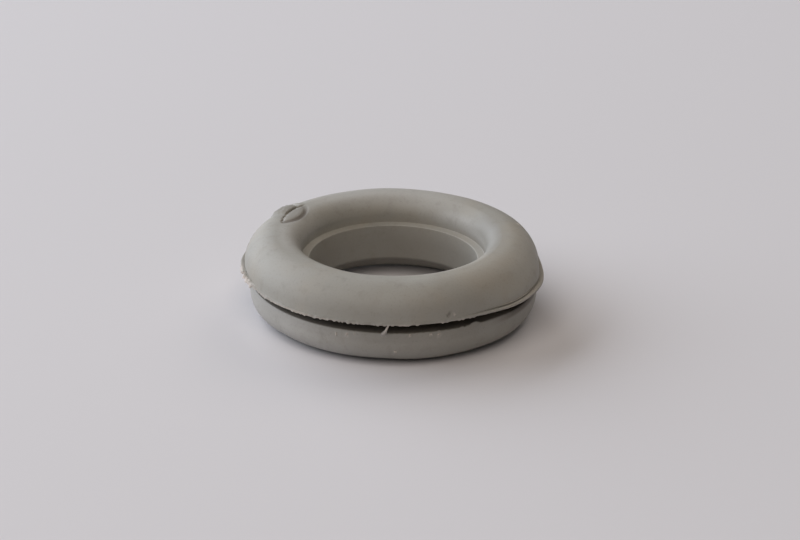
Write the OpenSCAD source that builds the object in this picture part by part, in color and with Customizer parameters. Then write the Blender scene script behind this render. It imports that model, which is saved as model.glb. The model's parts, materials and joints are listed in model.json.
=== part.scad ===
// Rubber grommet: one soft moulding with two half-round flanges, a narrow panel
// groove between them, and a cable bore that steps out to a ledge at each end.
// The bore axis is Z and the middle of the panel groove is z = 0. Lengths are in
// millimetres and angles in degrees.

/* [Flanges] */
// Height from the crest of one flange to the crest of the other
height = 7.25; // [6:0.05:8.7]
// Diameter of the upper flange, without its flash
upper_d = 25.2; // [21:0.1:30.3]
// Diameter of the lower flange
lower_d = 24.6; // [20.5:0.1:29.6]
// Radius of the curve from the upper crest down into the bore
curve_in = 1.6; // [1.2:0.05:2.1]
// Radius of the curve from the upper crest out to the flange's edge
curve_out = 2.65; // [1.5:0.05:3.2]
// Radius of the curve from the lower crest up into the bore
low_curve_in = 2.4; // [1.5:0.05:2.9]
// Radius of the curve from the lower crest out to the flange's edge
low_curve_out = 2; // [1.5:0.05:2.6]
// Width of the flat between the two curves, at the upper crest
crest_flat = 0.5; // [0.05:0.05:1]
// Width of the flat between the two curves, at the lower crest
low_crest_flat = 0.05; // [0.05:0.05:1]

/* [Cable bore] */
// Diameter of the straight bore wall
bore_d = 14.3; // [11.9:0.1:17.2]
// Width of the ledge between the bore and the foot of the flange's curve
ledge_w = 0.7; // [0.3:0.05:1]
// Depth of the upper ledge under the crest of the upper flange
upper_ledge = 2.25; // [1.7:0.05:2.6]
// Depth of the lower ledge under the crest of the lower flange
lower_ledge = 1.65; // [1.3:0.05:2.2]

/* [Panel groove] */
// Diameter of the groove's floor, which fills the hole in the panel
groove_d = 20; // [16.6:0.1:24.2]
// Width of the groove, which takes the edge of the sheet metal
groove_w = 0.95; // [0.6:0.05:1.4]
// How far the groove's middle lies above the middle of the height
groove_up = 0.15; // [0:0.05:0.4]

/* [Flash] */
// How far the flash stands out from the edge of the upper flange
flash_out = 0.4; // [0.1:0.05:0.5]
// Thickness of the flash
flash_t = 0.25; // [0.15:0.05:0.4]

/* [Gate mark] */
// Diameter of the round pad left where the gate was torn off
gate_d = 3.6; // [2:0.1:4]
// How far the pad stands up from the flange
gate_rise = 0.15; // [0.05:0.05:0.3]
// Position of the pad round the flange
gate_angle = 152; // [0:1:359]
// Distance from the flange's crest out to the pad's middle
gate_shift = 1.05; // [0:0.05:1.2]
// Width of the tear across the pad
tear_w = 0.25; // [0.1:0.05:0.5]
// Depth of the tear, from the pad's top
tear_depth = 0.3; // [0.1:0.05:0.5]
// Distance from the flange's crest to the tear, towards the flange's edge
tear_shift = 0.5; // [-0.2:0.05:0.8]

/* [Hidden] */
$fn = 96;

rubber_grey = [0.55, 0.55, 0.52];

// How far a cutting shape passes the surface that it cuts
pass = 1;
// How far the flash reaches back into the flange that carries it
flash_root = 0.5;

upper_h = height / 2 - groove_up;
lower_h = height / 2 + groove_up;
upper_r = upper_d / 2;
lower_r = lower_d / 2;
bore_r = bore_d / 2;
ledge_r = bore_r + ledge_w;
groove_r = groove_d / 2;
groove_z = groove_w / 2;

// A flange too narrow or too low for its two curves has both of them smaller by one share
function share(edge_r, crest_h, arc_in, arc_out, flat) = min(
    1,
    (edge_r - ledge_r - flat) / (arc_in + arc_out),
    (crest_h - groove_z - flash_t) / max(arc_in, arc_out)
);
upper_share = share(upper_r, upper_h, curve_in, curve_out, crest_flat);
lower_share = share(lower_r, lower_h, low_curve_in, low_curve_out, low_crest_flat);
upper_in = curve_in * upper_share;
upper_out = curve_out * upper_share;
lower_in = low_curve_in * lower_share;
lower_out = low_curve_out * lower_share;

crest_r = ledge_r + upper_in;
gate_r = crest_r + gate_shift;
gate_pad_r = gate_d / 2;
tear_r = crest_r + tear_shift;
tear_len = 2 * sqrt(pow(gate_pad_r, 2) - pow(abs(gate_r - tear_r) + tear_w / 2, 2));

// One quarter of a round of the radius arc whose crest is at r and at height h. It faces
// the bore where side is -1 and the outside where side is 1, and it is grown outwards.
module quarter_round(r, h, arc, side, grow) {
    intersection() {
        translate([r, h - arc])
            circle(r = arc + grow);
        translate([side < 0 ? r - arc - grow : r, h - arc])
            square(arc + grow);
    }
}

// The rounded top of a flange with its edge at edge_r and its crest at crest_h
module flange_top(edge_r, crest_h, arc_in, arc_out, grow) {
    inner_crest = ledge_r + arc_in;
    outer_crest = edge_r - arc_out;
    quarter_round(inner_crest, crest_h, arc_in, -1, grow);
    quarter_round(outer_crest, crest_h, arc_out, 1, grow);
    translate([inner_crest, 0])
        square([outer_crest - inner_crest, crest_h + grow]);
}

// Half of the section, from the middle of the groove to the crest, with its ledge at
// ledge_depth under the crest
module half_section(edge_r, crest_h, arc_in, arc_out, ledge_depth) {
    difference() {
        union() {
            flange_top(edge_r, crest_h, arc_in, arc_out, 0);
            translate([ledge_r, 0])
                square([edge_r - ledge_r, crest_h - max(arc_in, arc_out)]);
            translate([ledge_r, 0])
                square([arc_in, crest_h - arc_in]);
            translate([edge_r - arc_out, 0])
                square([arc_out, crest_h - arc_out]);
            translate([bore_r, 0])
                square([ledge_w + arc_in, crest_h - ledge_depth]);
        }
        translate([groove_r, -pass])
            square([edge_r - groove_r + pass, groove_z + pass]);
    }
}

// The thin flash round the lower edge of the upper flange
module flash_section() {
    translate([upper_r - flash_root, groove_z])
        square([flash_root + flash_out, flash_t]);
}

// The round pad follows the flange's curve and stands a little proud of it
module gate_pad() {
    intersection() {
        rotate_extrude()
            flange_top(upper_r, upper_h, upper_in, upper_out, gate_rise);
        rotate([0, 0, gate_angle])
            translate([gate_r, 0, 0])
                cylinder(r = gate_pad_r, h = height);
    }
}

// A narrow cut across the pad, square to the line from the bore axis
module gate_tear() {
    rotate([0, 0, gate_angle])
        translate([tear_r - tear_w / 2, -tear_len / 2, upper_h + gate_rise - tear_depth])
            cube([tear_w, tear_len, tear_depth + pass]);
}

module grommet() {
    color(rubber_grey)
        difference() {
            union() {
                rotate_extrude() {
                    half_section(upper_r, upper_h, upper_in, upper_out, upper_ledge);
                    mirror([0, 1])
                        half_section(lower_r, lower_h, lower_in, lower_out, lower_ledge);
                    flash_section();
                }
                gate_pad();
            }
            gate_tear();
        }
}

grommet();
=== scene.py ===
import json
import math

import bmesh
import bpy
from mathutils import Matrix, Vector, noise

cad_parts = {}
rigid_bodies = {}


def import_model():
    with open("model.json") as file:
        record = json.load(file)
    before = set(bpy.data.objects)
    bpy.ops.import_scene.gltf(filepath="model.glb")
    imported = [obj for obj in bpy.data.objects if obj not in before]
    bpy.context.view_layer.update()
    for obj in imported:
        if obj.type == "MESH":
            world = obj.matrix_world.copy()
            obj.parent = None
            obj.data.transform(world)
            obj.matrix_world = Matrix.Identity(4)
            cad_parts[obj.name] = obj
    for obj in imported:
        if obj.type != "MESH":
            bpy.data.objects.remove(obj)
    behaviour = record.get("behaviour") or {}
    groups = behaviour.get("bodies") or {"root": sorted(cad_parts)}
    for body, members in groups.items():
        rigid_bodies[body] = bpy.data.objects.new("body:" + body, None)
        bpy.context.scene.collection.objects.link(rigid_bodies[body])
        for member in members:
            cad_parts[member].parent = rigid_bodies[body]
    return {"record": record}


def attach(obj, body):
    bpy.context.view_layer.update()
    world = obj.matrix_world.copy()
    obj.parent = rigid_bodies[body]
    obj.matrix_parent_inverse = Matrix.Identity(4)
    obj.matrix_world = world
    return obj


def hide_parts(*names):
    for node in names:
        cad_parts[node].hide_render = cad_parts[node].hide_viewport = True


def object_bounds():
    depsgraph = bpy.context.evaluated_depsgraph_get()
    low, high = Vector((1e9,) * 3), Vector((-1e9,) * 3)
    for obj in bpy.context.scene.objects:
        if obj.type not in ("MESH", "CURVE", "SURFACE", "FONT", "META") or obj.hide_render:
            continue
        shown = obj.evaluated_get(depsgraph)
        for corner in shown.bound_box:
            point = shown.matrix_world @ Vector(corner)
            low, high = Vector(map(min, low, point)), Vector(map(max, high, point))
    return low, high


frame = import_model()
cadLow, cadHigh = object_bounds()

# The moulding is shaped in millimetres and brought to metres when it is finished
toMetres = 0.001
padRise = 0.15                                # the gate mark stands this far over the upper crest
rimRadius = cadHigh.x / toMetres
upperHeight = cadHigh.z / toMetres - padRise  # both heights are from the middle of the groove
lowerHeight = -cadLow.z / toMetres
boreMount = next(m for m in frame["record"]["mounts"] if m["name"] == "cable_bore")
boreRadius = boreMount["dims"]["r_mm"]


# Editing helpers

def makeActive(piece):
    bpy.ops.object.select_all(action="DESELECT")
    piece.select_set(True)
    bpy.context.view_layer.objects.active = piece


def startEditing(piece):
    makeActive(piece)
    bpy.ops.object.mode_set(mode="EDIT")
    bpy.ops.mesh.select_mode(type="VERT")
    bpy.ops.mesh.select_all(action="DESELECT")


def stopEditing():
    bpy.ops.object.mode_set(mode="OBJECT")


def selectFaces(piece, test):
    # Selects the faces whose middle passes the test
    bpy.ops.mesh.select_mode(type="FACE")
    shape = bmesh.from_edit_mesh(piece.data)
    for face in shape.faces:
        face.select_set(test(face.calc_center_median()))
    bmesh.update_edit_mesh(piece.data, loop_triangles=False, destructive=False)


def selectEdges(piece, test):
    # Selects the edges whose two ends pass the test
    bpy.ops.mesh.select_mode(type="EDGE")
    shape = bmesh.from_edit_mesh(piece.data)
    for edge in shape.edges:
        edge.select_set(test(edge.verts[0].co, edge.verts[1].co))
    bmesh.update_edit_mesh(piece.data, loop_triangles=False, destructive=False)


def useModifier(piece, kind, **settings):
    makeActive(piece)
    modifier = piece.modifiers.new(kind.lower(), kind)
    for name, value in settings.items():
        setattr(modifier, name, value)
    bpy.ops.object.modifier_apply(modifier=modifier.name)


def pushPoints(piece, name, weightOf, distance, direction="NORMAL"):
    # Moves points by up to the distance, each as far as its weight says, or towards the
    # cylinder of that radius
    group = piece.vertex_groups.new(name=name)
    for point in piece.data.vertices:
        weight = weightOf(point.co)
        if weight > 0.002:
            group.add([point.index], min(weight, 1.0), "REPLACE")
    if direction == "CYLINDER":
        useModifier(piece, "CAST", vertex_group=name, cast_type="CYLINDER", factor=1.0,
                    use_radius_as_size=False, size=distance, use_z=False)
    else:
        useModifier(piece, "DISPLACE", vertex_group=name, strength=distance, mid_level=0,
                    direction=direction)


# Places round the moulding

def fade(value, start, end):
    # 0 at the start, 1 at the end, with a soft rise between them
    share = min(max((value - start) / (end - start), 0.0), 1.0)
    return share * share * (3 - 2 * share)


def azimuthOf(place):
    return math.degrees(math.atan2(place.y, place.x)) % 360


def turnFrom(place, azimuth):
    # Degrees round from an azimuth, from -180 to 180
    return (azimuthOf(place) - azimuth + 180) % 360 - 180


def nearAzimuth(place, azimuth, reach):
    # 1 at the azimuth and 0 farther from it than the reach
    return 1 - fade(abs(turnFrom(place, azimuth)), reach * 0.4, reach)


def radiusOf(place):
    return math.hypot(place.x, place.y)


def inBand(place, heights, radius):
    # Between two heights, and farther out than a radius
    return heights[0] < place.z < heights[1] and radiusOf(place) > radius


def ragged(azimuth, grain, seed):
    # A rough value from 0 to 1 that changes round the moulding, with teeth of about grain degrees
    spot = Vector((azimuth / grain, seed, 0.0))
    rough = noise.noise(spot) + 0.5 * noise.noise(spot * 2.3)
    return min(max(0.5 + 0.9 * rough, 0.0), 1.0)


# The section, drawn point by point and spun round the bore

moulding = {
    "turns": 480,           # steps of the spin round the bore
    "ledgeWidth": 0.7,      # between the bore and the foot of the flange's curve
    "upperLedge": 2.25,     # depth of each ledge under its crest
    "lowerLedge": 1.65,
    "flashOut": 0.4,        # how far the flash stands out of the upper flange
    "flashHeight": 0.3,
    "flashSlope": 0.06,     # its upper face falls by this much on its way out
    "flashInset": 0.04,     # and its edge stops this far inside the rim's radius
    "lowerInset": 0.7,      # the lower flange is this much smaller than the rim
    "curveIn": 1.6,         # radii of the upper curves, to the bore and to the edge
    "curveOut": 2.68,
    "lowCurveIn": 2.2,      # and of the lower ones
    "lowCurveOut": 2.25,
    "grooveHalf": 0.475,    # half the width of the groove
    "grooveFloor": 10.0,    # radius of the groove's floor
    "boreFootRound": 0.42,  # the small roundings, from the bore's wall outwards
    "boreTopRound": 0.12,
    "ledgeRound": 0.04,
    "creaseRound": 0.03,
    "flashTopRound": 0.08,
    "flashFootRound": 0.06,
    "grooveRound": 0.15,
    "lowRimRound": 0.14,
    "smallRound": 0.5,      # a smaller rounding has few steps: so many, and more for each mm
    "smallSteps": (3, 10),
    "topStep": 5.0,         # degrees a step takes on the upper large curves and on the lower ones
    "lowStep": 7.0,
    # Rows of points on a straight run: the gap between them where the run starts inside a radius
    "rowGaps": ((12.2, 1.2), (12.4, 0.3), (99.0, 0.12)),
}
misfit = {
    "lowerShift": (0.15, 0.25),  # the lower half of the mould was this much out of line
    "lowerDepths": (-0.2, 0.3),  # it takes over between these depths and between these radii
    "lowerRadii": (8.0, 8.8),
    "boreShift": 0.12,           # the pin that formed the bore was out of line too
    "boreRadii": (8.8, 9.6),     # and this is where its part ends
    "wave": 0.05,                # how far the soft rubber sags in places
    "waveScale": 0.22,
    "backSag": 0.13,             # how far the upper flange sags at the back
    "backAt": (108, 100),        # azimuth and reach of that
    "backHeights": (0.8, 3.0),
    "lift": 0.2,                 # the underside is this far off the table where it is not flat
    "liftDepths": (2.2, 3.3),
    "liftAt": ((0.85, 238, 45), (0.5, 290, 45), (0.35, 85, 70)),  # share, azimuth and reach
}
leastRun = 0.0001  # shorter straight runs are left out
mergeGap = 0.0005


def spinPoint(centre, angle, steps):
    bpy.ops.mesh.spin(steps=steps, angle=angle, center=(centre.x, 0, centre.y), axis=(0, 1, 0))


def rowsIn(run, radius):
    gap = next(gap for limit, gap in moulding["rowGaps"] if radius < limit)
    return max(1, round(run.length / gap))


def roundSteps(place, rounding, bend):
    if rounding < moulding["smallRound"]:
        least, more = moulding["smallSteps"]
        return least + round(more * rounding)
    step = moulding["topStep"] if place.y > 0 else moulding["lowStep"]
    return round(math.degrees(abs(bend)) / step)


def drawSection(name, corners):
    # Each corner is (radius, height, rounding), and the section closes on its first corner
    places = [Vector(corner[:2]) for corner in corners]
    turns = []
    for i, place in enumerate(places):
        before = (place - places[i - 1]).normalized()
        after = (places[(i + 1) % len(places)] - place).normalized()
        side = 1 if before.x * after.y - before.y * after.x > 0 else -1
        rounding = corners[i][2]
        bend = before.angle(after)
        reach = rounding * math.tan(bend / 2)
        start, end = place - before * reach, place + after * reach
        centre = start + Vector((-before.y, before.x)) * rounding * side
        turns.append((start, end, centre, bend * side))
    bpy.ops.object.select_all(action="DESELECT")
    here = turns[0][0]
    bpy.ops.mesh.primitive_plane_add(size=0.01, location=(here.x, 0, here.y))
    bpy.ops.object.transform_apply(location=True, rotation=False, scale=False)
    piece = bpy.context.object
    piece.name = name
    bpy.ops.object.mode_set(mode="EDIT")
    bpy.ops.mesh.select_mode(type="VERT")
    bpy.ops.mesh.merge(type="CENTER")
    for i, (start, end, centre, bend) in enumerate(turns + [turns[0]]):
        run = start - here
        if run.length > leastRun:
            rows = rowsIn(run, here.x)
            for _ in range(rows):
                bpy.ops.mesh.extrude_vertices_move(
                    TRANSFORM_OT_translate={"value": (run.x / rows, 0, run.y / rows)})
        if i == len(turns):
            break
        spinPoint(centre, bend, roundSteps(places[i], corners[i][2], bend))
        here = end
    bpy.ops.mesh.select_all(action="SELECT")
    bpy.ops.mesh.remove_doubles(threshold=mergeGap)
    return piece


def makeMoulding():
    m = moulding
    ledge = boreRadius + m["ledgeWidth"]
    edge = rimRadius - m["flashOut"]
    lowEdge = rimRadius - m["lowerInset"]
    upperLedge = upperHeight - m["upperLedge"]
    lowerLedge = m["lowerLedge"] - lowerHeight
    top, bottom = m["grooveHalf"], -m["grooveHalf"]
    crease = top + m["flashHeight"]
    lip = rimRadius - m["flashInset"]
    piece = drawSection("rubberMoulding", [
        (boreRadius, lowerLedge, m["boreFootRound"]),
        (boreRadius, upperLedge, m["boreTopRound"]),
        (ledge, upperLedge, m["ledgeRound"]),
        (ledge, upperHeight, m["curveIn"]),
        (edge, upperHeight, m["curveOut"]),
        (edge, crease, m["creaseRound"]),
        (lip, crease - m["flashSlope"], m["flashTopRound"]),
        (lip, top, m["flashFootRound"]),
        (m["grooveFloor"], top, m["grooveRound"]),
        (m["grooveFloor"], bottom, m["grooveRound"]),
        (lowEdge, bottom, m["lowRimRound"]),
        (lowEdge, -lowerHeight, m["lowCurveOut"]),
        (ledge, -lowerHeight, m["lowCurveIn"]),
        (ledge, lowerLedge, m["ledgeRound"]),
    ])
    print("section", len(piece.data.vertices), "points")
    bpy.ops.mesh.select_all(action="SELECT")
    bpy.ops.mesh.spin(steps=m["turns"], angle=2 * math.pi, center=(0, 0, 0), axis=(0, 0, 1))
    bpy.ops.mesh.select_all(action="SELECT")
    bpy.ops.mesh.remove_doubles(threshold=mergeGap)
    bpy.ops.mesh.normals_make_consistent(inside=False)
    stopEditing()
    return piece


def shiftMould(piece):
    m = misfit

    def lower(place):
        return fade(-place.z, *m["lowerDepths"]) * fade(radiusOf(place), *m["lowerRadii"])

    def bore(place):
        return 1 - fade(radiusOf(place), *m["boreRadii"])

    def sag(place):
        return 0.5 + 0.9 * noise.noise(place * m["waveScale"] + Vector((3.0, 1.0, 7.0)))

    def backSag(place):
        return nearAzimuth(place, *m["backAt"]) * fade(place.z, *m["backHeights"])

    def lift(place):
        # The soft ring rests on its right and on its left, and is off the table elsewhere
        around = sum(share * nearAzimuth(place, *spot) for share, *spot in m["liftAt"])
        return min(around, 1.0) * fade(-place.z, *m["liftDepths"])

    pushPoints(piece, "lowerX", lower, m["lowerShift"][0], "X")
    pushPoints(piece, "lowerY", lower, m["lowerShift"][1], "Y")
    pushPoints(piece, "bore", bore, m["boreShift"], "X")
    pushPoints(piece, "sag", sag, -m["wave"])
    pushPoints(piece, "backSag", backSag, -m["backSag"], "Z")
    pushPoints(piece, "lift", lift, m["lift"], "Z")


body = makeMoulding()
shiftMould(body)
print("moulding", len(body.data.vertices), "points", len(body.data.polygons), "faces")


# The flash left where the mould's halves met, round the upper flange's lower edge

flash = {
    "cuts": 2,                     # extra steps round the rims, so that they can be ragged
    "lipDepth": 0.36,              # its lip reaches this far in from the rim's radius
    "lipHeights": (0.4, 0.95),
    "frontFrom": (196, 204),       # along the front, between these, it has come away
    "frontTo": (296, 318),
    "frontGrain": 3.0,
    "crease": 0.09,                # depth of the crease over it
    "creaseHeight": 0.8,
    "creaseReach": 0.28,
    "tornAt": (192, 14),           # azimuth and reach of the torn length
    "tornOut": 0.42,               # how far its shreds stand out, and how far they hang
    "tornDrop": 0.22,
    "tornGrain": 2.2,
    "notchGrain": 1.8,
    "swellAt": (333, 27),          # where the flange's edge stands out most
    "swell": (0.25, -0.13),
    "thinAt": 88,                  # round the back a share of it is missing
    "thinEnds": (80, 94),
    "thinShare": 0.5,
    "toothDrop": 0.1,              # how far the small teeth hang along the front
    "toothGrain": 1.5,
    "drop": 0.16,                  # both rims hang lower round the right
    "dropAt": (348, 36),
    "leftDropAt": (224, 26),       # and the upper one a little less on the left
    "leftDropShare": 0.8,
    "lowRimDepth": 0.5,            # the lower flange's rim
    "lowRimHeights": (-0.75, -0.4),
    "lowRimEnds": (0.5, 0.75),     # its faults end between these depths
    "lowTeeth": 0.12,              # height of the teeth on it
    "lowTeethFrom": (238, 250),
    "lowTeethTo": (300, 312),
    "lowTeethMost": (294, 9),
    "lowTeethGrain": 1.1,
    "lowBump": 0.3,                # height of the bump near its right end
    "lowBumpAt": 305.5,
    "lowBumpReach": (4.5, 3.2),    # to each side
}


def frontShare(place):
    # 1 where the flash has come away
    azimuth = azimuthOf(place)
    return fade(azimuth, *flash["frontFrom"]) * (1 - fade(azimuth, *flash["frontTo"]))


def onLip(place):
    return inBand(place, flash["lipHeights"], rimRadius - flash["lipDepth"])


def tornShare(place):
    return nearAzimuth(place, *flash["tornAt"])


def makeFlash(piece):
    f = flash
    edge = rimRadius - moulding["flashOut"]
    lowRim = rimRadius - moulding["lowerInset"]

    def onLowRim(place):
        return inBand(place, f["lowRimHeights"], lowRim - f["lowRimDepth"])

    def ringEdge(first, second):
        # Edges that run level round either rim
        level = abs(first.z - second.z) < 0.004 and abs(azimuthOf(first) - azimuthOf(second)) > 0.1
        return level and (onLip(first) and onLip(second) or onLowRim(first) and onLowRim(second))

    def shreds(place):
        # Only the lowest edge of the trimmed lip is drawn out into shreds
        if not inBand(place, (0.4, 0.8), edge - 0.06):
            return 0.0
        low = 1 - fade(place.z, 0.5, 0.72)
        shred = ragged(azimuthOf(place), f["tornGrain"], 3.1)
        return low * tornShare(place) * fade(shred, 0.25, 0.9)

    def teeth(place):
        # A few stay where the flash has not come away
        if not onLip(place):
            return 0.0
        low = 1 - fade(place.z, 0.5, 0.66)
        reach = fade(radiusOf(place), rimRadius - f["lipDepth"], rimRadius - 0.16)
        tooth = fade(ragged(azimuthOf(place), f["toothGrain"], 8.7), 0.35, 0.95)
        return low * reach * tooth * (0.15 + 0.85 * frontShare(place))

    def crease(place):
        if not inBand(place, (0.6, 1.1), edge - 0.2):
            return 0.0
        gap = math.hypot(radiusOf(place) - edge, place.z - f["creaseHeight"])
        return (1 - fade(gap, 0.0, f["creaseReach"])) * (1 - frontShare(place))

    def trim(place):
        # Away along the front, in notches along the torn length, and thinner round the back
        if not inBand(place, (0.3, 0.95), edge - 0.02):
            return 0.0
        azimuth = azimuthOf(place)
        front = frontShare(place) * (0.8 + 0.2 * ragged(azimuth, f["frontGrain"], 1.7))
        gap = fade(ragged(azimuth, f["notchGrain"], 6.3), 0.3, 0.6)
        notch = tornShare(place) * (0.25 + 0.7 * gap)
        back = f["thinShare"] * (1 - fade(abs(turnFrom(place, f["thinAt"])), *f["thinEnds"]))
        return max(front, notch, back)

    def swell(place):
        low = fade(place.z, 0.1, 0.3) * (1 - fade(place.z, 0.9, 2.3))
        if low == 0:
            return 0.0
        return low * fade(radiusOf(place), 11.4, 12.3) * nearAzimuth(place, *f["swellAt"])

    def drop(place):
        if not inBand(place, (-1.6, 1.6), 11.0):
            return 0.0
        low = 1 - fade(abs(place.z), 0.6, 1.6)
        left = f["leftDropShare"] * nearAzimuth(place, *f["leftDropAt"]) if place.z > 0 else 0.0
        return max(nearAzimuth(place, *f["dropAt"]), left) * low

    def lowTeeth(place):
        if not onLowRim(place):
            return 0.0
        azimuth = azimuthOf(place)
        where = fade(azimuth, *f["lowTeethFrom"]) * (1 - fade(azimuth, *f["lowTeethTo"]))
        rough = 0.35 + 0.65 * nearAzimuth(place, *f["lowTeethMost"])
        out = fade(radiusOf(place), lowRim - f["lowRimDepth"], lowRim - 0.2)
        tooth = fade(ragged(azimuth, f["lowTeethGrain"], 5.5), 0.45, 0.95)
        return where * rough * out * tooth * (1 - fade(-place.z, *f["lowRimEnds"]))

    def lowBump(place):
        if not onLowRim(place):
            return 0.0
        turn = turnFrom(place, f["lowBumpAt"])
        hill = 1 - fade(abs(turn), 0.0, f["lowBumpReach"][0 if turn < 0 else 1])
        out = fade(radiusOf(place), lowRim - f["lowRimDepth"], lowRim - 0.1)
        return hill * out * (1 - fade(-place.z, *f["lowRimEnds"]))

    startEditing(piece)
    selectEdges(piece, ringEdge)
    bpy.ops.mesh.subdivide(number_cuts=f["cuts"])
    stopEditing()
    pushPoints(piece, "teeth", teeth, -f["toothDrop"], "Z")
    pushPoints(piece, "crease", crease, -f["crease"])
    pushPoints(piece, "trim", trim, edge + 0.02, "CYLINDER")
    pushPoints(piece, "swellX", swell, f["swell"][0], "X")
    pushPoints(piece, "swellY", swell, f["swell"][1], "Y")
    pushPoints(piece, "shredsOut", shreds, edge + f["tornOut"], "CYLINDER")
    pushPoints(piece, "shreds", shreds, -f["tornDrop"], "Z")
    pushPoints(piece, "drop", drop, -f["drop"], "Z")
    pushPoints(piece, "lowTeeth", lowTeeth, f["lowTeeth"], "Z")
    pushPoints(piece, "lowBump", lowBump, f["lowBump"], "Z")


makeFlash(body)
print("flash", len(body.data.vertices), "points")


# The oval pad where the gate was torn off, with the tear across it

gateMark = {
    "azimuth": 152,
    "lowest": 1.5,              # it lies higher than this on the flange, and within this turn
    "widest": 20,
    "turnRadius": 10,           # turns become millimetres at this radius
    "reach": (2.6, 1.7),        # half the size of the patch of fine faces, round and across
    "cuts": 3,
    "radius": 10.05,            # the oval's middle
    "round": 0.25,
    "halfLength": 2.15,         # round the flange
    "halfWidth": 1.22,          # across it
    "rise": 0.065,              # the flap towards the bore
    "stubRise": 0.32,           # the stub left on the outer side of the tear
    "crestRise": 0.1,           # and its height where the flange is highest
    "stubFrom": (-1.5, -1.3),   # it stands between these, round the flange,
    "stubTo": (0.1, 0.75),
    "stubOut": (1.2, 1.68),     # and ends between these across it
    "scrapFrom": (-2.5, -2.1),  # a lower scrap of it stands apart
    "scrapTo": (-2.0, -1.8),
    "scrapShare": 0.45,
    "trench": 0.075,            # depth and half width of the line round the flap
    "trenchHalf": 0.24,
    "tear": 0.18,               # depth and half width of the tear
    "tearHalf": 0.17,
    "tearBow": 0.1,             # it bows by this much over this far
    "tearReach": 1.5,
    "tearSlope": 0.05,
    "tearGrain": 1.9,
    "tearDeepest": -0.85,
}


def gatePlace(place):
    # Distances from the gate mark's azimuth, round the flange, and from its middle outwards
    radius = radiusOf(place)
    around = math.radians(turnFrom(place, gateMark["azimuth"])) * gateMark["turnRadius"]
    return around, radius - gateMark["radius"]


def tearLine(around):
    # Where the tear runs across the pad, for each place round it
    g = gateMark
    spot = Vector((around * g["tearGrain"], 4.2, 0.0))
    bow = g["tearBow"] - g["tearBow"] * (around / g["tearReach"]) ** 2
    rough = 0.07 * noise.noise(spot) + 0.05 * noise.noise(spot * 3.1)
    return bow - g["tearSlope"] * around + rough


def makeGateMark(piece):
    g = gateMark

    def near(place):
        if place.z < g["lowest"] or abs(turnFrom(place, g["azimuth"])) > g["widest"]:
            return False
        around, across = gatePlace(place)
        return abs(around) < g["reach"][0] and abs(across) < g["reach"][1]

    def rimDistance(around, across):
        # Below 0 inside the oval
        oval = math.hypot((around - g["round"]) / g["halfLength"], across / g["halfWidth"])
        return (oval - 1) * g["halfWidth"]

    def flap(place):
        if not near(place):
            return 0.0
        around, across = gatePlace(place)
        inside = 1 - fade(rimDistance(around, across), -0.45, 0.0)
        return inside * fade(tearLine(around) - across, 0.0, 0.4)

    def stub(place):
        if not near(place):
            return 0.0
        around, across = gatePlace(place)
        rough = 0.85 + 0.25 * noise.noise(place * 1.6) + 0.1 * noise.noise(place * 5.0)
        main = fade(around, *g["stubFrom"]) * (1 - fade(around, *g["stubTo"]))
        scrap = fade(around, *g["scrapFrom"]) * (1 - fade(around, *g["scrapTo"]))
        ends = max(main, g["scrapShare"] * scrap)
        out = fade(across - tearLine(around), 0.0, 0.2) * (1 - fade(across, *g["stubOut"]))
        most = g["crestRise"] + (g["stubRise"] - g["crestRise"]) * fade(across, 0.1, 1.1)
        return max(rough * ends * out, 0.0) * most / g["stubRise"]

    def trench(place):
        if not near(place):
            return 0.0
        around, across = gatePlace(place)
        if across > tearLine(around):
            return 0.0
        line = abs(rimDistance(around, across))
        thin = 0.45 + 0.55 * fade(around, -1.7, -0.9)
        return thin * (1 - fade(line, g["trenchHalf"] * 0.2, g["trenchHalf"]))

    def tear(place):
        # Deep in one length, and patchy beyond it
        if not near(place):
            return 0.0
        around, across = gatePlace(place)
        if rimDistance(around, across) > 0.05:
            return 0.0
        line = abs(across - tearLine(around))
        half = g["tearHalf"] * (0.8 + 0.6 * noise.noise(Vector((around * 4.0, 9.0, 0.0))))
        deep = 1 - fade(abs(around - g["tearDeepest"]), 0.25, 0.6)
        patchy = 0.5 + 0.5 * deep + 0.5 * noise.noise(Vector((around * 2.6, 2.0, 5.0)))
        return min(max(patchy, 0.0), 1.0) * (1 - fade(line, half * 0.3, half))

    startEditing(piece)
    selectFaces(piece, near)
    bpy.ops.mesh.subdivide(number_cuts=g["cuts"])
    stopEditing()
    pushPoints(piece, "flap", flap, g["rise"])
    pushPoints(piece, "stub", stub, g["stubRise"])
    pushPoints(piece, "trench", trench, -g["trench"])
    pushPoints(piece, "tear", tear, -g["tear"])
    return trench, tear


gateTrench, gateTear = makeGateMark(body)
print("gate mark", len(body.data.vertices), "points")


# Crumbs, a strand of flash across the groove, and a nick

# Each crumb is azimuth, radius, height, size, and how far it is stretched round, out and up
crumbs = [
    (277.6, 12.08, -0.71, 0.095, (1.2, 0.9, 1.0)),
    (285.9, 12.11, -0.71, 0.080, (1.5, 0.9, 0.8)),
    (289.3, 12.12, -0.81, 0.100, (1.3, 0.9, 1.0)),
    (271.8, 11.96, -2.20, 0.090, (1.5, 0.8, 0.9)),
    (247.6, 12.00, -1.00, 0.085, (0.8, 0.7, 2.1)),
    (252.1, 12.01, -0.85, 0.080, (0.8, 0.7, 1.8)),
    (255.4, 12.02, -0.75, 0.065, (1.4, 0.7, 1.0)),
    (294.6, 12.62, 1.02, 0.070, (1.2, 0.7, 1.0)),
    (16.3, 11.27, 3.0, 0.130, (1.0, 1.0, 1.0)),
    (199.5, 12.70, 0.44, 0.090, (2.2, 0.8, 0.9)),
    (203.0, 12.64, 0.42, 0.080, (1.6, 0.8, 1.3)),
]
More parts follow.
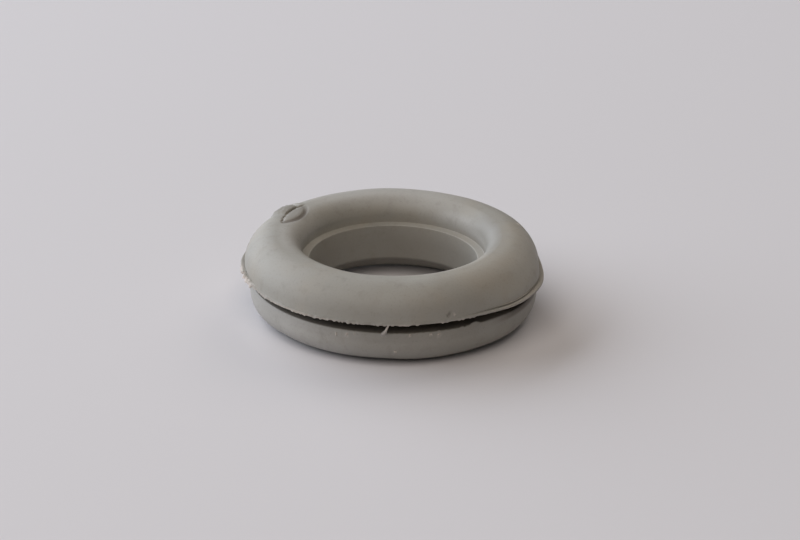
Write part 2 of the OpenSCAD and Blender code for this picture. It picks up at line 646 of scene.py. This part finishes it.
strand = {
    "path": [(268.9, 12.42, 0.52), (268.7, 12.52, 0.3), (268.1, 12.48, 0.0), (267.4, 12.3, -0.32),
             (266.9, 12.02, -0.62)],
    "sizes": [0.07, 0.1, 0.12, 0.22, 0.19],
    "sides": 10,
    "rough": 0.02,
    "seed": 4,
}
nick = {
    "azimuth": 292.3,
    "radius": 12.63,
    "height": 1.1,
    "size": 0.1,
    "stretch": (2.6, 1.1, 1.1),   # round, out and up, before it is turned
    "seed": 3,
    "lean": 48,
}
lumpRough = 0.25   # the share of a crumb's size by which its points are moved


def placeAt(azimuth, radius, height):
    turn = math.radians(azimuth)
    return Vector((math.cos(turn) * radius, math.sin(turn) * radius, height))


def shapeLump(azimuth, radius, height, size, stretch, seed, lean=0.0):
    # A blank ball is drawn out, roughened, leant over and moved to its place
    bpy.ops.object.select_all(action="DESELECT")
    bpy.ops.mesh.primitive_ico_sphere_add(subdivisions=2, radius=size)
    piece = bpy.context.object
    startEditing(piece)
    bpy.ops.mesh.select_all(action="SELECT")
    bpy.ops.transform.resize(value=stretch, center_override=(0, 0, 0))
    bpy.ops.transform.vertex_random(offset=size * lumpRough, seed=seed)
    bpy.ops.transform.rotate(value=math.radians(lean), orient_axis="Y", center_override=(0, 0, 0))
    bpy.ops.transform.rotate(value=-math.radians(azimuth + 90), orient_axis="Z",
                             center_override=(0, 0, 0))
    bpy.ops.transform.translate(value=placeAt(azimuth, radius, height))
    stopEditing()
    return piece


def shapeStrand():
    places = [placeAt(*spot) for spot in strand["path"]]
    sizes = strand["sizes"]
    bpy.ops.object.select_all(action="DESELECT")
    bpy.ops.mesh.primitive_circle_add(vertices=strand["sides"], radius=sizes[0], fill_type="NGON")
    piece = bpy.context.object
    startEditing(piece)
    bpy.ops.mesh.select_all(action="SELECT")
    bpy.ops.transform.translate(value=places[0])
    for i in range(1, len(places)):
        step = places[i] - places[i - 1]
        bpy.ops.mesh.extrude_region_move(TRANSFORM_OT_translate={"value": step})
        share = sizes[i] / sizes[i - 1]
        bpy.ops.transform.resize(value=(share, share, 1), center_override=places[i])
    bpy.ops.mesh.select_all(action="SELECT")
    bpy.ops.mesh.normals_make_consistent(inside=False)
    bpy.ops.transform.vertex_random(offset=strand["rough"], seed=strand["seed"])
    stopEditing()
    return piece


def combine(piece, other, operation):
    useModifier(piece, "BOOLEAN", object=other, operation=operation, solver="MANIFOLD")
    bpy.data.objects.remove(other)


def addCrumbs(piece):
    combine(piece, shapeLump(**nick), "DIFFERENCE")
    parts = [shapeLump(*crumb, seed) for seed, crumb in enumerate(crumbs)]
    parts.append(shapeStrand())
    makeActive(parts[0])
    for part in parts:
        part.select_set(True)
    bpy.ops.object.join()
    combine(piece, parts[0], "UNION")
    # What the union leaves loose goes
    startEditing(piece)
    shape = bmesh.from_edit_mesh(piece.data)
    shape.verts.ensure_lookup_table()
    shape.verts[0].select_set(True)
    bpy.ops.mesh.select_linked()
    bpy.ops.mesh.select_all(action="INVERT")
    bpy.ops.mesh.delete(type="VERT")
    stopEditing()


addCrumbs(body)
print("crumbs", len(body.data.vertices), "points")


# Torn places, and painted shade and painted light, which the material reads as attributes

skin = {
    "tooth": 0.45,                 # how torn the small teeth are, the bead, crumbs and the strand
    "bead": 0.12,
    "beadAt": (345, 45),
    "crumb": 0.6,
    "crumbEnds": (1.3, 2.0),       # in sizes of the crumb
    "strand": 0.1,
    "strandFoot": 0.45,
    "strandEnds": (0.16, 0.26),
    "nick": 0.6,                   # how much deep painted shade lies in the nick, the gate mark's lines and on the flash's lower edge
    "gateMark": 0.8,
    "flashFoot": 0.9,
    "flashFootAt": (348, 38),
    "grooveAt": (350, 40),         # where the lower rim lies close under the flash
    "ledge": (0.22, 60, 90),       # the ledge, as share, azimuth and reach
    "boreFoot": 0.42,              # and the foot of the bore's wall
    # Painted light on the upper flange: share, azimuth, reach, and the radii from which and to which
    # it grows. The back, the right, the inside on the left and the foot of the inner curve.
    "upperPaintedLight": (
        (0.7, 92, 55, (7.8, 8.4)),
        (0.35, 358, 34, (10.8, 11.6)),
        (0.9, 172, 40, (10.0, 9.2)),
        (0.9, 38, 34, (8.6, 8.1)),
    ),
    "lowerPaintedLight": 0.35,            # painted light on the lower flange all round, and this much more on the left
    "leftPaintedLight": (0.65, 215, 95),
    "wall": 0.7,                   # painted shade on the bore's wall, and how much less of it on the left
    "wallLess": (0.3, 155, 70),
    "ledgeDark": 0.55,             # painted shade on the ledge, with more on its right and less on its left
    "ledgeMore": (0.45, 40, 75),
    "ledgeLess": (0.5, 160, 60),
    # painted shade on the gate mark's pad
    "pad": 0.6,
    "innerRight": (0.8, 3, 38),    # painted shade on the inside of the upper flange on the right
    "innerRadius": 8.6,
    "front": (0.4, 276, 55),       # and the front of both flanges
}


def area(place, share, azimuth, reach):
    return share * nearAzimuth(place, azimuth, reach)


def paint(piece, name, amountOf):
    # An attribute from 0 to 1
    layer = piece.data.attributes.new(name=name, type="FLOAT", domain="POINT")
    for point in piece.data.vertices:
        layer.data[point.index].value = min(max(amountOf(point.co), 0.0), 1.0)


def tornRubber(place):
    # The torn flash, the crumbs and the strand are paler than the skin of the moulding
    amount = 0.0
    radius = radiusOf(place)
    if inBand(place, (-0.2, 0.95), 12.0):
        low = 1 - fade(place.z, 0.55, 0.8)
        shred = tornShare(place) * low * fade(radius, 12.6, 12.68)
        tooth = (1 - fade(place.z, 0.46, 0.58)) * skin["tooth"] * fade(radius, 12.5, 12.58)
        bead = area(place, skin["bead"], *skin["beadAt"]) * low * fade(radius, 12.7, 12.8)
        amount = max(shred, tooth, bead)
    start, end = skin["crumbEnds"]
    for azimuth, out, height, size, _ in crumbs:
        if abs(place.z - height) < 0.4 and abs(turnFrom(place, azimuth)) < 3:
            gap = (place - placeAt(azimuth, out, height)).length
            amount = max(amount, skin["crumb"] * (1 - fade(gap, size * start, size * end)))
    if inBand(place, (-0.8, 0.8), 11.9) and 264 < azimuthOf(place) < 272:
        gap = min((place - placeAt(*spot)).length for spot in strand["path"])
        torn = skin["strand"] + skin["strandFoot"] * fade(-place.z, 0.0, 0.4)
        amount = max(amount, torn * (1 - fade(gap, *skin["strandEnds"])))
    return amount


def inNick(place):
    # Painted shade in the nick
    gap = place - placeAt(nick["azimuth"], nick["radius"], nick["height"])
    if gap.length > 0.5:
        return 0.0
    lean = math.radians(nick["lean"])
    around = math.radians(turnFrom(place, nick["azimuth"])) * nick["radius"]
    aside = abs(gap.z * math.cos(lean) - around * math.sin(lean))
    along = abs(gap.z * math.sin(lean) + around * math.cos(lean))
    return skin["nick"] * (1 - fade(aside, 0.05, 0.18)) * (1 - fade(along, 0.14, 0.34))


def inGroove(place):
    # Painted shade in all of the groove, and on the lower rim where it lies close under the flash
    radius = radiusOf(place)
    if not inBand(place, (-1.25, 0.47), 9.6):
        return 0.0
    if radius > 12.0 and place.z > 0.1:
        # Painted shade on the lower edge of the flash on the right
        return area(place, skin["flashFoot"], *skin["flashFootAt"]) * (1 - fade(place.z, 0.34, 0.43))
    turn = math.radians(azimuthOf(place))
    shift = misfit["lowerShift"]
    rim = rimRadius - moulding["lowerInset"] + shift[0] * math.cos(turn) + shift[1] * math.sin(turn)
    inside = 1 - fade(radius, rim - 0.26, rim + 0.02)
    under = nearAzimuth(place, *skin["grooveAt"]) * (1 - fade(-place.z, 0.95, 1.25))
    return max(inside, under)


def paintedDeepShade(place):
    # Painted shade in the gate mark's lines, the nick, the groove, on the ledge and under the wall
    if place.z > gateMark["lowest"]:
        return skin["gateMark"] * max(gateTrench(place), gateTear(place))
    nicked = inNick(place) if place.z > 0.4 and radiusOf(place) > 12.2 else 0.0
    inBore = 0.0
    if radiusOf(place) < 9.3:
        shelf = area(place, *skin["ledge"]) * fade(place.z, 1.2, 1.3)
        under = skin["boreFoot"] * fade(-place.z, 1.85, 2.35) * (1 - fade(-place.z, 2.7, 3.3))
        inBore = max(shelf, under)
    return max(nicked, inGroove(place), inBore)


def paintedLightOf(place):
    # Painted light on the lower flange, most of it on the left, and in parts of the upper
    radius = radiusOf(place)
    if place.z > -0.4:
        most = max(area(place, *spot) * fade(radius, *radii) for *spot, radii in skin["upperPaintedLight"])
        return most * fade(place.z, 1.45, 1.8)
    around = skin["lowerPaintedLight"] + area(place, *skin["leftPaintedLight"])
    return around * fade(-place.z, 0.4, 0.6) * fade(radius, 10.2, 10.8)


def paintedShadeOf(place):
    # Painted shade on the bore's wall, the ledge, the gate mark, the inside on the right and the front
    radius = radiusOf(place)
    wall = (skin["wall"] - area(place, *skin["wallLess"])) * (1 - fade(radius, 7.6, 7.8))
    wall *= 1 - fade(place.z, 1.0, 1.2)
    ledge = skin["ledgeDark"] + area(place, *skin["ledgeMore"]) - area(place, *skin["ledgeLess"])
    ledge *= (1 - fade(place.z, 1.5, 1.8)) * fade(place.z, 1.2, 1.3) * (1 - fade(radius, 8.3, 9.0))
    pad = 0.0
    if place.z > gateMark["lowest"]:
        pad = skin["pad"] * (1 - fade(math.hypot(*gatePlace(place)), 1.2, 2.0))
    inner = area(place, *skin["innerRight"]) * fade(place.z, 1.8, 2.4)
    inner *= 1 - fade(abs(radius - skin["innerRadius"]), 0.4, 1.0)
    front = area(place, *skin["front"]) * (1 - fade(abs(place.z), 1.7, 3.0)) * fade(radius, 11.3, 11.8)
    return max(wall, ledge, pad, inner, front)


# Finish: metres and smooth shading

def finishPiece(piece, sharpAngle=50):
    startEditing(piece)
    bpy.ops.mesh.select_all(action="SELECT")
    bpy.ops.transform.resize(value=(toMetres,) * 3, center_override=(0, 0, 0))
    stopEditing()
    bpy.ops.object.shade_smooth_by_angle(angle=math.radians(sharpAngle))


paint(body, "torn", tornRubber)
paint(body, "paintedDeepShade", paintedDeepShade)
paint(body, "paintedLight", paintedLightOf)
paint(body, "paintedShade", paintedShadeOf)
body.vertex_groups.clear()
finishPiece(body)


# Shader maths

class Socket:
    # One output of a node: arithmetic on it adds Math nodes

    def __init__(self, tree, output):
        self.tree = tree
        self.output = output

    def add(self, kind, settings, inputs, output=0):
        # Adds any node: its settings first, then the values or links of its sockets
        node = self.tree.nodes.new(kind)
        for name, value in settings.items():
            setattr(node, name, value)
        for name, value in inputs.items():
            if isinstance(value, Socket):
                self.tree.links.new(value.output, node.inputs[name])
            else:
                node.inputs[name].default_value = value
        return Socket(self.tree, node.outputs[output])

    def maths(self, operation, first, second, third=0.0):
        return self.add("ShaderNodeMath", {"operation": operation}, {0: first, 1: second, 2: third})

    def __add__(self, other):
        return self.maths("ADD", self, other)

    def __radd__(self, other):
        return self.maths("ADD", other, self)

    def __sub__(self, other):
        return self.maths("SUBTRACT", self, other)

    def __rsub__(self, other):
        return self.maths("SUBTRACT", other, self)

    def __mul__(self, other):
        return self.maths("MULTIPLY", self, other)

    def __rmul__(self, other):
        return self.maths("MULTIPLY", other, self)

    def clamped(self):
        return self.add("ShaderNodeClamp", {}, {"Value": self})

    def rise(self, start, end):
        # A soft step from 0 to 1
        return self.add("ShaderNodeMapRange", {"interpolation_type": "SMOOTHSTEP"},
                        {"Value": self, "From Min": start, "From Max": end})

    def noise(self, scale, detail=2.0, roughness=0.5):
        return self.add("ShaderNodeTexNoise", {}, {
            "Vector": self, "Scale": scale, "Detail": detail, "Roughness": roughness})

    def mix(self, first, second):
        # This value blends two colours
        return self.add("ShaderNodeMix", {"data_type": "RGBA"}, {0: self, 6: first, 7: second}, 2)


def startMaterial(name):
    material = bpy.data.materials.new(name)
    material.use_nodes = True
    tree = material.node_tree
    shader = tree.nodes["Principled BSDF"]
    start = Socket(tree, None)
    return material, shader, start


def feed(start, shader, name, value):
    start.tree.links.new(value.output, shader.inputs[name])


rubberLook = {
    "grey": (0.300, 0.288, 0.256, 1),
    "warm": (0.310, 0.286, 0.243, 1),      # broad warmer and paler clouds in the rubber
    "pale": (0.328, 0.320, 0.291, 1),
    "dark": (0.200, 0.184, 0.156, 1),      # fine darker mottle
    # painted light
    "paintedLight": (0.385, 0.372, 0.345, 1),
    # painted shade
    "paintedShade": (0.215, 0.202, 0.176, 1),
    "torn": (0.60, 0.53, 0.48, 1),
    # the deep painted shade in the lines, the nick, the groove, on the ledge and under the wall
    "paintedDeepShade": (0.085, 0.065, 0.050, 1),
    "cloudScale": 160.0,                   # scales are per metre
    "patchScale": 272.0,
    "mottleScale": 900.0,
    "poreScale": 2600.0,
    "grainScale": 5200.0,
    "paleAmount": 0.7,
    "mottleAmount": 0.36,
    "grainAmount": 0.38,
    "paintedDeepShadeAmount": 0.85,
    "roughness": 0.6,
    "mottleRoughness": 0.16,
    "tornRoughness": 0.12,
    "bumpStrength": 0.55,
    "bumpDepth": 0.00003,
    "bumpShares": (0.5, 0.22, 0.18),       # of the mottle, the grain and the pores
}


def makeRubber():
    r = rubberLook
    material, shader, start = startMaterial("rubberGrey")
    place = start.add("ShaderNodeTexCoord", {}, {}, 3)
    torn, paintedDeepShadeShare, paintedLight, paintedShade = [
        start.add("ShaderNodeAttribute", {"attribute_name": name}, {}, 2)
        for name in ("torn", "paintedDeepShade", "paintedLight", "paintedShade")]
    clouds = place.noise(r["cloudScale"], 3, 0.55)
    patches = place.noise(r["patchScale"], 2, 0.5)
    mottle = place.noise(r["mottleScale"], 3, 0.6)
    grain = place.noise(r["grainScale"], 2, 0.6)
    pores = start.add("ShaderNodeTexVoronoi", {}, {"Vector": place, "Scale": r["poreScale"]})
    colour = clouds.rise(0.42, 0.68).mix(r["grey"], r["warm"])
    colour = (patches.rise(0.5, 0.72) * r["paleAmount"]).mix(colour, r["pale"])
    # Painted light
    colour = (paintedLight * (0.6 + 0.4 * clouds.rise(0.35, 0.65))).mix(colour, r["paintedLight"])
    # Painted shade
    colour = paintedShade.mix(colour, r["paintedShade"])
    colour = (mottle.rise(0.52, 0.8) * r["mottleAmount"]).mix(colour, r["dark"])
    colour = (grain.rise(0.5, 0.85) * r["grainAmount"]).mix(colour, r["dark"])
    colour = (torn * (0.55 + 0.45 * mottle.rise(0.4, 0.6))).clamped().mix(colour, r["torn"])
    # Deep painted shade in the gate mark's lines, the nick, the groove, on the ledge and under the
    # wall
    colour = (paintedDeepShadeShare * r["paintedDeepShadeAmount"]).clamped().mix(colour, r["paintedDeepShade"])
    feed(start, shader, "Base Color", colour)
    rough = r["roughness"] + r["mottleRoughness"] * (mottle - 0.5) + r["tornRoughness"] * torn
    feed(start, shader, "Roughness", rough.clamped())
    pit = 1 - pores.rise(0.0, 0.35)
    mottleShare, grainShare, pitShare = r["bumpShares"]
    height = mottle * mottleShare + grain * grainShare - pit * pitShare
    bump = start.add("ShaderNodeBump", {}, {
        "Height": height, "Strength": r["bumpStrength"], "Distance": r["bumpDepth"]})
    feed(start, shader, "Normal", bump)
    return material


body.data.materials.clear()
body.data.materials.append(makeRubber())
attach(body, "root")
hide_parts("grommet")
print("rubber")


# Floor, lights and camera

studio = {
    "elevation": 23.39,      # the camera's height over the table, in degrees
    "roll": 0.61,
    "distance": 0.35,        # from the camera to the middle of the underside
    "sensor": 36,
    "lens": 183.27,
    "right": 0.000734,       # the camera stands this far off the middle
    "up": 0.003509,
    "floorSize": 3.0,
    "floorColour": (0.62, 0.605, 0.62, 1),
    "floorRoughness": 0.9,
    "roomLight": 0.075,
    "roomColour": (1.0, 0.98, 0.96, 1),
    # Azimuth, elevation, distance, size, light and colour. Azimuth 0 is behind the object, 90 on
    # its left. A light of 1 makes white paper square to the lamp render as white.
    "lamps": {
        "window": (62, 26, 0.7, (1.3, 0.62), 1.66, (0.94, 1.0, 1.1)),
        "ceiling": (168, 54, 1.0, (0.9, 0.9), 0.46, (1.1, 1.0, 0.91)),
        "wall": (322, 40, 1.0, (0.6, 0.6), 0.16, (1.1, 1.0, 0.91)),
    },
}


def makeFloor():
    bpy.ops.object.select_all(action="DESELECT")
    bpy.ops.mesh.primitive_plane_add(size=studio["floorSize"], location=(0, 0, cadLow.z))
    floor = bpy.context.object
    floor.name = "tableTop"
    bpy.ops.object.transform_apply(location=True)
    material, shader = startMaterial("tablePaper")[:2]
    shader.inputs["Base Color"].default_value = studio["floorColour"]
    shader.inputs["Roughness"].default_value = studio["floorRoughness"]
    floor.data.materials.append(material)


def makeCamera():
    s = studio
    tilt, roll = math.radians(s["elevation"]), math.radians(s["roll"])
    ahead = Vector((0, math.cos(tilt), -math.sin(tilt)))
    right = Vector((1, 0, 0))
    up = Vector((0, math.sin(tilt), math.cos(tilt)))
    base = Vector((0, 0, cadLow.z))
    turnedRight = right * math.cos(roll) + up * math.sin(roll)
    turnedUp = up * math.cos(roll) - right * math.sin(roll)
    place = base - ahead * s["distance"] + turnedRight * s["right"] + turnedUp * s["up"]
    turn = Matrix((turnedRight, turnedUp, -ahead)).transposed()
    data = bpy.data.cameras.new("camera")
    data.sensor_width = s["sensor"]
    data.lens = s["lens"]
    camera = bpy.data.objects.new("camera", data)
    camera.matrix_world = Matrix.Translation(place) @ turn.to_4x4()
    bpy.context.scene.collection.objects.link(camera)
    bpy.context.scene.camera = camera


def makeLamp(name, azimuth, elevation, distance, size, light, colour):
    a, e = math.radians(azimuth), math.radians(elevation)
    place = Vector((-math.sin(a) * math.cos(e), math.cos(a) * math.cos(e), math.sin(e))) * distance
    turn = (-place).to_track_quat("-Z", "Y")
    data = bpy.data.lights.new(name, "AREA")
    data.shape = "RECTANGLE"
    data.size, data.size_y = size
    data.energy = light * (math.pi * distance) ** 2
    data.color = colour
    lamp = bpy.data.objects.new(name, data)
    lamp.matrix_world = Matrix.Translation(place) @ turn.to_matrix().to_4x4()
    bpy.context.scene.collection.objects.link(lamp)


def makeLights():
    for name, lamp in studio["lamps"].items():
        makeLamp(name, *lamp)
    world = bpy.data.worlds.new("room")
    world.use_nodes = True
    background = world.node_tree.nodes["Background"]
    background.inputs["Color"].default_value = studio["roomColour"]
    background.inputs["Strength"].default_value = studio["roomLight"]
    bpy.context.scene.world = world


makeFloor()
makeCamera()
makeLights()
bpy.context.scene.view_settings.view_transform = "Standard"
